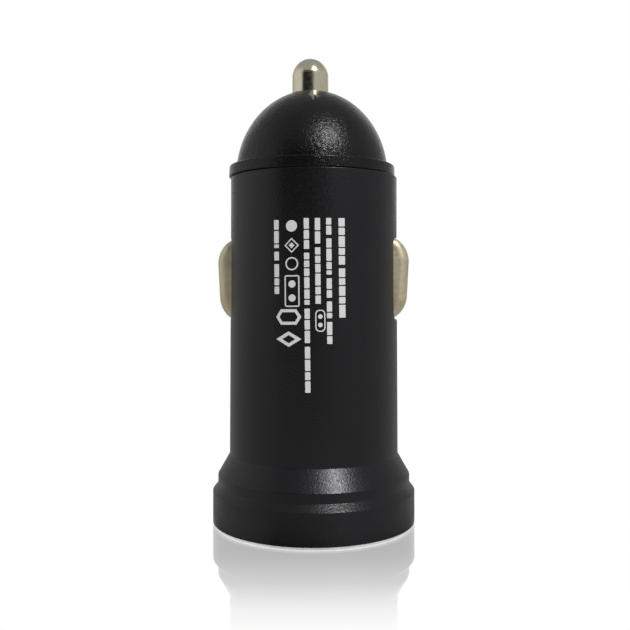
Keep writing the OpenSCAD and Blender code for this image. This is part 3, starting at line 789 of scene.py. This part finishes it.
# ---------------------------------------------------------------- print
def build_print():
    """White print on the side that faces the view: bars, dots and plain figures, wrapped round the barrel."""
    rnd = random.Random(7)
    verts, faces = [], []
    tilt = math.radians(0.55)
    mid_z = 27.0
    lift, sink = 0.014, -0.02

    def place(s, z):
        """s: distance round the barrel from the print's middle, toward +X; z: height. Returns angle and height."""
        dz = z - mid_z
        s2 = s * math.cos(tilt) - dz * math.sin(tilt)
        z2 = mid_z + dz * math.cos(tilt) + s * math.sin(tilt)
        return s2, z2

    def point(s, z, up):
        s2, z2 = place(s, z)
        r = barrel_radius(z2)
        a = math.radians(-90 + AZ) + s2 / r
        return ((r + up) * math.cos(a), (r + up) * math.sin(a), z2)

    def panel(columns):
        """A thin closed plate from (s, low z, high z) columns in order of s, close enough together to follow the barrel."""
        n = len(columns)
        base = len(verts)
        for up in (lift, sink):
            for s, lo, hi in columns:
                verts.append(point(s, lo, up))
                verts.append(point(s, hi, up))

        def at(layer, i, high):
            return base + layer * 2 * n + 2 * i + high
        for i in range(n - 1):
            faces.append((at(0, i, 0), at(0, i + 1, 0), at(0, i + 1, 1), at(0, i, 1)))
            faces.append((at(1, i, 1), at(1, i + 1, 1), at(1, i + 1, 0), at(1, i, 0)))
            faces.append((at(1, i, 0), at(1, i + 1, 0), at(0, i + 1, 0), at(0, i, 0)))
            faces.append((at(0, i, 1), at(0, i + 1, 1), at(1, i + 1, 1), at(1, i, 1)))
        faces.append((at(0, 0, 0), at(0, 0, 1), at(1, 0, 1), at(1, 0, 0)))
        faces.append((at(0, n - 1, 1), at(0, n - 1, 0), at(1, n - 1, 0), at(1, n - 1, 1)))

    def filled(cs, cz, ws, wz, half):
        """A filled figure: half(t) is its half height, from 0 to 1, at t from -1 to 1 across it."""
        n = max(8, int(2 * ws / 0.2))
        cols = []
        for i in range(n + 1):
            t = -math.cos(math.pi * i / n)
            h = max(0.012, wz * half(t))
            cols.append((cs + ws * t, cz - h, cz + h))
        panel(cols)

    def ring(outer, inner):
        """A closed band between two outlines of equal count."""
        n = len(outer)
        idx = []
        for loop, up in ((outer, lift), (inner, lift), (outer, sink), (inner, sink)):
            idx.append(len(verts))
            for s, z in loop:
                verts.append(point(s, z, up))
        a, b, c, d = idx
        for k in range(n):
            k2 = (k + 1) % n
            faces.append((a + k, a + k2, b + k2, b + k))
            faces.append((d + k, d + k2, c + k2, c + k))
            faces.append((a + k2, a + k, c + k, c + k2))
            faces.append((b + k, b + k2, d + k2, d + k))

    def bar(s0, s1, z0, z1):
        """A bar with softened corners."""
        lo_s, hi_s, lo_z, hi_z = min(s0, s1), max(s0, s1), min(z0, z1), max(z0, z1)
        c = min(0.05, (hi_s - lo_s) * 0.3, (hi_z - lo_z) * 0.3)
        steps = max(1, int((hi_s - lo_s - 2 * c) / 0.3) + 1)
        cols = [(lo_s, lo_z + c, hi_z - c)]
        cols += [(lo_s + c + (hi_s - lo_s - 2 * c) * k / steps, lo_z, hi_z) for k in range(steps + 1)]
        cols += [(hi_s, lo_z + c, hi_z - c)]
        panel(cols)

    def banded(corners, t):
        """A closed band of width t inside a figure given by its corners, dense enough to follow the barrel."""
        cs = sum(p[0] for p in corners) / len(corners)
        cz = sum(p[1] for p in corners) / len(corners)
        n = len(corners)
        inner = []
        for i in range(n):
            p, q, r = corners[i - 1], corners[i], corners[(i + 1) % n]
            ax, ay = q[0] - p[0], q[1] - p[1]
            bx, by = r[0] - q[0], r[1] - q[1]
            la, lb = math.hypot(ax, ay), math.hypot(bx, by)
            n1, n2 = (-ay / la, ax / la), (-by / lb, bx / lb)
            mx, my = n1[0] + n2[0], n1[1] + n2[1]
            d = mx * n1[0] + my * n1[1]
            inner.append((q[0] + mx * t / d, q[1] + my * t / d))
        a, b = [], []
        for i in range(n):
            j = (i + 1) % n
            steps = max(1, int(math.dist(corners[i], corners[j]) / 0.25))
            for k in range(steps):
                f = k / steps
                a.append((corners[i][0] + (corners[j][0] - corners[i][0]) * f, corners[i][1] + (corners[j][1] - corners[i][1]) * f))
                b.append((inner[i][0] + (inner[j][0] - inner[i][0]) * f, inner[i][1] + (inner[j][1] - inner[i][1]) * f))
        ring(a, b)

    def frame_of(cs, cz, w, h, t, r=0.18, n=4):
        corners = []
        for cx, cy, a0 in ((w / 2 - r, h / 2 - r, 0), (-w / 2 + r, h / 2 - r, 90), (-w / 2 + r, -h / 2 + r, 180), (w / 2 - r, -h / 2 + r, 270)):
            for k in range(n + 1):
                a = math.radians(a0 + 90 * k / n)
                corners.append((cs + cx + r * math.cos(a), cz + cy + r * math.sin(a)))
        banded(corners, t)

    def line(s_base, s_top, z_start, fields):
        """A row of solid bars that runs down the barrel, in groups as long as the fields given."""
        z = z_start
        for length in fields:
            end = z - length
            while z > end + 0.3:
                w = min(rnd.uniform(0.7, 1.5), z - end)
                if z - w - end < 0.45:
                    w = z - end
                bar(s_base, s_base + (s_top - s_base) * 0.58, z, z - w)
                z -= w + 0.14
            z = end - 0.42

    k = 0.1122   # millimetres round the barrel for one step of the layout below, whose unit is a 630th of the view

    def S(x):
        """Distance round the barrel of a column of the layout, counted from the middle of the view."""
        return (x - 313.7) * k * (1.0 + 0.35 * ((x - 313.7) / 82.0) ** 2 * 0.5)

    def Z(y):
        return 28.46 - (y - 293.0) * 0.1132

    line(S(339.4), S(350.2), Z(218), [5.3, 5.6])
    line(S(327.0), S(336.0), Z(218), [1.9, 4.1, 2.2, 1.9, 2.5])
    line(S(315.6), S(324.8), Z(218), [2.9, 6.4])
    line(S(304.4), S(313.6), Z(218), [3.5, 5.9, 3.9, 5.2])
    line(S(274.3), S(282.6), Z(219), [3.2, 1.0, 3.4])
    # a lozenge with two dots after the third row
    frame_of(S(320.3), Z(320.8), 1.15, 2.5, 0.13, 0.5, 6)
    for q in (-1, 1):
        filled(S(320.3), Z(320.8 + 4.2 * q), 0.26, 0.26, lambda t: math.sqrt(max(0.0, 1 - t * t)))
    # plain figures in the next column: a disc, a framed diamond, a ring and a frame with dots
    cs = S(292.0)
    filled(cs, Z(225.5), 0.66, 0.66, lambda t: math.sqrt(max(0.0, 1 - t * t)))
    banded([(cs - 0.86, Z(245.0)), (cs, Z(252.6)), (cs + 0.86, Z(245.0)), (cs, Z(237.4))], 0.14)
    filled(cs, Z(245.0), 0.34, 0.34, lambda t: 1 - abs(t))
    banded([(cs + 0.76 * math.cos(q * math.pi / 12), Z(263.4) + 0.76 * math.sin(q * math.pi / 12)) for q in range(24)], 0.16)
    frame_of(cs, Z(290.8), 1.75, 3.6, 0.15, 0.22)
    for q in (-1, 1):
        filled(cs, Z(290.8 + 7.0 * q), 0.42, 0.42, lambda t: math.sqrt(max(0.0, 1 - t * t)))
    # two large plain figures: six-sided and four-sided bands
    cb = S(288.2)
    ws, wz = 1.50, 0.88
    banded([(cb - ws, Z(316.8)), (cb - 0.62 * ws, Z(316.8) - wz), (cb + 0.62 * ws, Z(316.8) - wz), (cb + ws, Z(316.8)),
            (cb + 0.62 * ws, Z(316.8) + wz), (cb - 0.62 * ws, Z(316.8) + wz)], 0.34)
    banded([(cb - ws, Z(339.0)), (cb, Z(339.0) - wz), (cb + ws, Z(339.0)), (cb, Z(339.0) + wz)], 0.36)
    o = make("rating_print", verts, faces, (MATS["print_ink"],), None, 40)
    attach(o, "plug")
    return o


housing = build_housing()
cap = build_cap()
pin = build_pin()
contacts = [build_contact(1), build_contact(-1)]
rating = build_print()

PIN_LEN = PIN_TOP - 9.05 - 37.8
spring = build_spring("pin_spring_wire", "pin_spring", 2.1, 0.5, PIN_LEN, 8.5,
                      Matrix.Translation((PIN_X, 0, 37.8)), "plug")
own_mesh(spring)
LEN = CONTACT_OUT - CONTACT_LEAN - 0.9 - 4.9
turn_x = Matrix.Rotation(math.radians(90), 4, "Y")
for side, tag in ((1, "right"), (-1, "left")):
    place = Matrix.Translation((4.9, 0, SPRING_Z)) @ turn_x
    if side < 0:
        place = Matrix.Diagonal((-1, 1, 1, 1)) @ place
    s = build_spring("contact_spring_wire_" + tag, "contact_spring_" + tag, 1.85, 0.45, LEN, 6, place, "plug")
    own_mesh(s)

# ---------------------------------------------------------------- carried-over pieces
SLOT_OF = {p["node"]: p["material_slot"] for p in frame["record"]["subparts"]}
for name, o in NODES.items():
    if o.hide_render:
        continue
    slot = SLOT_OF[name]
    o.data.materials.clear()
    o.data.materials.append(MATS[slot])
    width = {"face_plate": 0.12, "usb_shell": 0.06, "usb_insulator": 0.12, "usb_contacts": 0.05, "spring_carrier": 0.15,
             "power_inductor": 0.15, "main_board": 0.05}.get(name, 0.04)
    b = o.modifiers.new("edge", "BEVEL")
    b.width = width * MM
    b.segments = 2
    b.limit_method = "ANGLE"
    b.angle_limit = math.radians(35)
    b.harden_normals = False

# ---------------------------------------------------------------- floor, light and camera
FLOOR_BACK = 0.38              # how bright the floor is to anything but the eye
MIRROR = ((0.0120, 0.54), (0.0154, 0.51), (0.0227, 0.365), (0.0291, 0.135), (0.0350, 0.0))   # metres toward the view, share of mirror


def turned(v):
    """A direction given in the view's own frame, turned with the view round the plug."""
    return Matrix.Rotation(math.radians(AZ), 3, "Z") @ Vector(v)


def stage_floor():
    """White board: shines by itself, with a painted shadow round the plug's foot in the glow it gives the plug, mirrors
    the plug's foot softly near it, and can't be seen from below.
    """
    me = bpy.data.meshes.new("floor")
    s = 1.6
    me.from_pydata([(-s, -s, 0), (s, -s, 0), (s, s, 0), (-s, s, 0)], [], [(0, 1, 2, 3)])
    o = link("floor", me)
    o.location.z = -0.00002
    m = bpy.data.materials.new("floor_white_painted_foot_shadow")
    m.use_nodes = True
    nt = m.node_tree
    nt.nodes.clear()
    N, L = nt.nodes.new, nt.links.new
    out = N("ShaderNodeOutputMaterial")
    glow = N("ShaderNodeEmission")
    glow.inputs["Color"].default_value = (1, 1, 1, 1)
    # white to the eye; what it throws back at the plug is dimmer, and close round the foot it carries a painted shadow,
    # its glow falling to 0.04
    lp = N("ShaderNodeLightPath")
    seen = N("ShaderNodeMix")
    seen.inputs[2].default_value = FLOOR_BACK
    seen.inputs[3].default_value = 1.0
    L(lp.outputs["Is Camera Ray"], seen.inputs[0])
    gloss = N("ShaderNodeBsdfGlossy")
    gloss.inputs["Roughness"].default_value = 0.03
    gloss.inputs["Color"].default_value = (1, 1, 1, 1)
    geo = N("ShaderNodeNewGeometry")
    sep = N("ShaderNodeVectorMath")
    sep.operation = "LENGTH"
    L(geo.outputs["Position"], sep.inputs[0])
    # painted shadow: round the foot the floor's glow toward the plug falls from FLOOR_BACK to 0.04
    near = N("ShaderNodeMapRange")
    near.interpolation_type = "SMOOTHSTEP"
    near.inputs["From Min"].default_value = 0.0127
    near.inputs["From Max"].default_value = 0.0190
    near.inputs["To Min"].default_value = 0.04
    near.inputs["To Max"].default_value = FLOOR_BACK
    L(sep.outputs["Value"], near.inputs["Value"])
    under = N("ShaderNodeMath")
    under.operation = "LESS_THAN"
    under.inputs[1].default_value = 0.01244
    L(sep.outputs["Value"], under.inputs[0])
    foot = N("ShaderNodeMix")
    foot.inputs[3].default_value = 1.0
    L(under.outputs[0], foot.inputs[0])
    L(near.outputs["Result"], foot.inputs[2])
    L(foot.outputs[0], seen.inputs[2])
    L(seen.outputs[0], glow.inputs["Strength"])
    # the mirror fades with the distance from the plug's axis toward the view
    ahead = N("ShaderNodeVectorMath")
    ahead.operation = "DOT_PRODUCT"
    L(geo.outputs["Position"], ahead.inputs[0])
    ahead.inputs[1].default_value = turned((0, -1, 0)) / 0.040
    fade = N("ShaderNodeValToRGB")
    els = fade.color_ramp.elements
    while len(els) < len(MIRROR):
        els.new(0.5)
    for e, (pos, v) in zip(els, MIRROR):
        e.position = pos / 0.040
        e.color = (v, v, v, 1)
    L(ahead.outputs["Value"], fade.inputs["Fac"])
    start = N("ShaderNodeMapRange")
    start.interpolation_type = "SMOOTHSTEP"
    start.inputs["From Min"].default_value = -0.006 / 0.040
    start.inputs["From Max"].default_value = 0.001 / 0.040
    L(ahead.outputs["Value"], start.inputs["Value"])
    aside = N("ShaderNodeVectorMath")
    aside.operation = "DOT_PRODUCT"
    L(geo.outputs["Position"], aside.inputs[0])
    aside.inputs[1].default_value = turned((1, 0, 0))
    off = N("ShaderNodeMath")
    off.operation = "ABSOLUTE"
    L(aside.outputs["Value"], off.inputs[0])
    width = N("ShaderNodeMapRange")
    width.interpolation_type = "SMOOTHSTEP"
    width.inputs["From Min"].default_value = 0.0135
    width.inputs["From Max"].default_value = 0.0230
    width.inputs["To Min"].default_value = 1.0
    width.inputs["To Max"].default_value = 0.0
    L(off.outputs[0], width.inputs["Value"])
    near_axis = N("ShaderNodeMath")
    near_axis.operation = "MULTIPLY"
    L(start.outputs["Result"], near_axis.inputs[0])
    L(width.outputs["Result"], near_axis.inputs[1])
    share = N("ShaderNodeMath")
    share.operation = "MULTIPLY"
    L(fade.outputs["Color"], share.inputs[0])
    L(near_axis.outputs[0], share.inputs[1])
    mix = N("ShaderNodeMixShader")
    L(share.outputs[0], mix.inputs["Fac"])
    L(glow.outputs["Emission"], mix.inputs[1])
    L(gloss.outputs["BSDF"], mix.inputs[2])
    clear = N("ShaderNodeBsdfTransparent")
    back = N("ShaderNodeMixShader")
    L(geo.outputs["Backfacing"], back.inputs["Fac"])
    L(mix.outputs["Shader"], back.inputs[1])
    L(clear.outputs["BSDF"], back.inputs[2])
    L(back.outputs["Shader"], out.inputs["Surface"])
    me.materials.append(m)
    return o


LEFT, RIGHT, CEILING, FRONT, BACK = (0.54, 0.54, 0.54), (0.39, 0.39, 0.40), (0.30, 0.30, 0.31), (0.010, 0.010, 0.011), (0.36, 0.36, 0.36)


def world():
    w = bpy.data.worlds.new("studio")
    bpy.context.scene.world = w
    w.use_nodes = True
    nt = w.node_tree
    nt.nodes.clear()
    N, L = nt.nodes.new, nt.links.new
    out = N("ShaderNodeOutputWorld")
    seen = N("ShaderNodeBackground")
    seen.inputs["Color"].default_value = (1, 1, 1, 1)
    seen.inputs["Strength"].default_value = 1.0
    room = N("ShaderNodeBackground")
    room.inputs["Strength"].default_value = 1.0
    tc = N("ShaderNodeTexCoord")
    sep = N("ShaderNodeSeparateXYZ")
    spin = N("ShaderNodeVectorRotate")
    spin.rotation_type = "Z_AXIS"
    spin.inputs["Angle"].default_value = -math.radians(AZ)
    L(tc.outputs["Generated"], spin.inputs["Vector"])
    L(spin.outputs["Vector"], sep.inputs[0])

    def calc(op, a, b=None):
        m = N("ShaderNodeMath")
        m.operation = op
        for i, v in enumerate((a, b)):
            if v is None:
                continue
            if isinstance(v, (int, float)):
                m.inputs[i].default_value = v
            else:
                L(v, m.inputs[i])
        return m.outputs[0]
    # compass angle from the view's side of the plug, toward +X, and height above the horizon, in degrees
    back_y = calc("MULTIPLY", sep.outputs["Y"], -1.0)
    round_deg = calc("MULTIPLY", calc("ARCTAN2", sep.outputs["X"], back_y), 180 / math.pi)
    up_deg = calc("MULTIPLY", calc("ARCSINE", sep.outputs["Z"]), 180 / math.pi)

    def edge(value, a, b):
        m = N("ShaderNodeMapRange")
        m.interpolation_type = "SMOOTHSTEP"
        m.inputs["From Min"].default_value = a
        m.inputs["From Max"].default_value = b
        L(value, m.inputs["Value"])
        return m.outputs["Result"]

    def mixc(fac, a, b):
        m = N("ShaderNodeMix")
        m.data_type = "RGBA"
        L(fac, m.inputs[0])
        for i, v in ((6, a), (7, b)):
            if isinstance(v, tuple):
                m.inputs[i].default_value = (*v, 1)
            else:
                L(v, m.inputs[i])
        return m.outputs[2]
    # the room: paler on the left, a pale ceiling, and dark in front
    colour = mixc(edge(round_deg, -60.0, 60.0), LEFT, RIGHT)
    turn = calc("ABSOLUTE", round_deg)
    colour = mixc(edge(turn, 105.0, 140.0), colour, BACK)
    colour = mixc(edge(up_deg, 25.0, 50.0), colour, CEILING)
    in_front = calc("MULTIPLY", edge(round_deg, -57.0, -46.0), edge(calc("MULTIPLY", round_deg, -1.0), -34.0, -8.0))
    dark = calc("MULTIPLY", in_front, edge(calc("MULTIPLY", up_deg, -1.0), -42.0, -28.0))
    colour = mixc(dark, colour, FRONT)
    # straight behind, low down: the white that the floor mirrors toward the view
    behind = calc("SUBTRACT", 180.0, turn)
    white = calc("MULTIPLY", edge(calc("MULTIPLY", behind, -1.0), -36.0, -26.0),
                 calc("MULTIPLY", edge(up_deg, 3.0, 7.0), edge(calc("MULTIPLY", up_deg, -1.0), -40.0, -30.0)))
    colour = mixc(white, colour, (1.0, 1.0, 1.0))
    L(colour, room.inputs["Color"])
    lp = N("ShaderNodeLightPath")
    mix = N("ShaderNodeMixShader")
    L(lp.outputs["Is Camera Ray"], mix.inputs["Fac"])
    L(room.outputs["Background"], mix.inputs[1])
    L(seen.outputs["Background"], mix.inputs[2])
    L(mix.outputs["Shader"], out.inputs["Surface"])


def lamp(name, direction, distance, size, power, target=(0, 0, 0.03), size_y=None, colour=(1, 1, 1)):
    d = Vector(direction).normalized()
    light = bpy.data.lights.new(name, "AREA")
    light.shape = "RECTANGLE" if size_y else "DISK"
    light.size = size
    if size_y:
        light.size_y = size_y
    light.energy = power
    light.color = colour
    o = bpy.data.objects.new(name, light)
    bpy.context.scene.collection.objects.link(o)
    o.location = Vector(target) + d * distance
    o.rotation_mode = "QUATERNION"
    o.rotation_quaternion = d.to_track_quat("Z", "Y")
    o.visible_camera = False
    return o


stage_floor()
world()
lamp("key", turned((0.38, -0.60, 0.70)), 1.50, 0.30, 11.2)

cam_data = bpy.data.cameras.new("camera")
cam_data.sensor_fit = "AUTO"
cam_data.sensor_width = 36.0
cam_data.lens = 826.3 / 630.0 * 36.0
cam_data.shift_y = -22.0 / 630.0
cam_data.clip_start = 0.005
cam_data.clip_end = 10.0
cam = bpy.data.objects.new("camera", cam_data)
bpy.context.scene.collection.objects.link(cam)
look = turned((0, 1, 0))
right = turned((1, 0, 0))
cam.location = -look * 0.1038 + right * 0.00015 + Vector((0, 0, 0.02846))
cam.rotation_mode = "QUATERNION"
cam.rotation_quaternion = (-look).to_track_quat("Z", "Y")
bpy.context.scene.camera = cam

vs = bpy.context.scene.view_settings
vs.view_transform = "Standard"
vs.look = "None"
vs.exposure = 0.0
vs.gamma = 1.0
